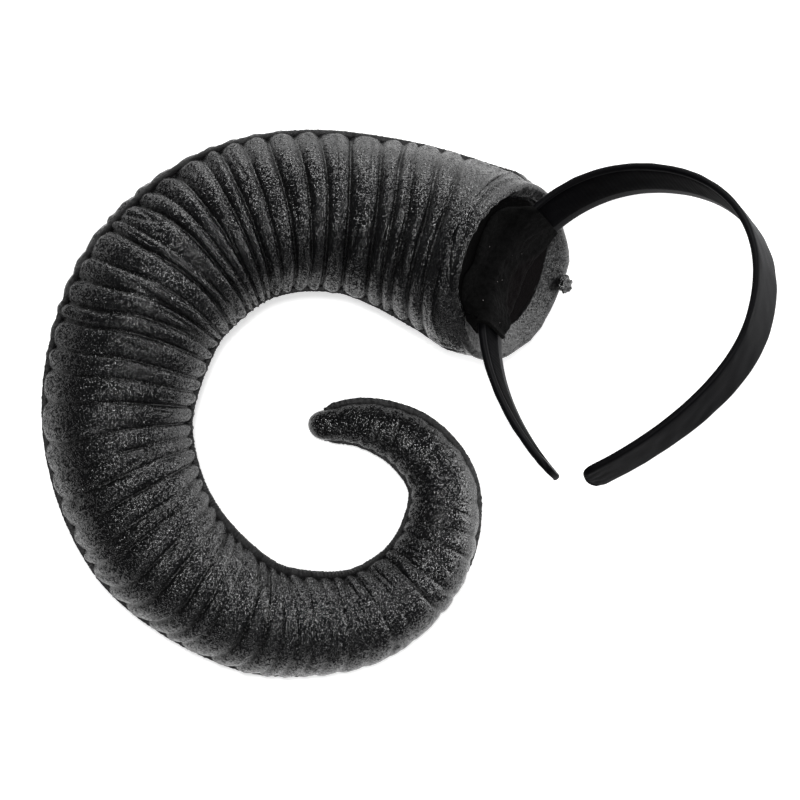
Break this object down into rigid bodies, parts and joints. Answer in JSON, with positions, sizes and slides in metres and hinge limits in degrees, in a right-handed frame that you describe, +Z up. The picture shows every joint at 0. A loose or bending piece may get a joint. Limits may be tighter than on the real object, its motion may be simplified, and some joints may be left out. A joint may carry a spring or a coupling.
{
  "type": "ram horn headband",
  "caption": "Headband with a large stuffed, ribbed and coiled imitation-leather ram's horn glued to one arm under a felt patch, lying on a table.",
  "frame": {"origin": "under the middle of the whole object, on the surface that it lies on", "axes": "+Z up; +X from the horn's coil towards the headband, +Y towards the headband's crown"},
  "size_m": [0.3014, 0.2306, 0.1218],
  "materials": {
    "horn_leather": "satin black imitation leather with a fine pebbled grain",
    "seam_edge": "raw cut edges, matte",
    "band_satin": "satin weave, soft sheen",
    "band_ribbon": "plain ribbon, matte",
    "felt": "pressed felt, matte"
  },
  "bodies": {
    "root": {"horn_body": "horn_leather", "outer_seam": "seam_edge", "inner_seam": "seam_edge", "base_disc": "felt", "headband": "band_satin", "band_lining": "band_ribbon", "band_patch": "felt", "rim_knot": "horn_leather"}
  },
  "joints": []
}
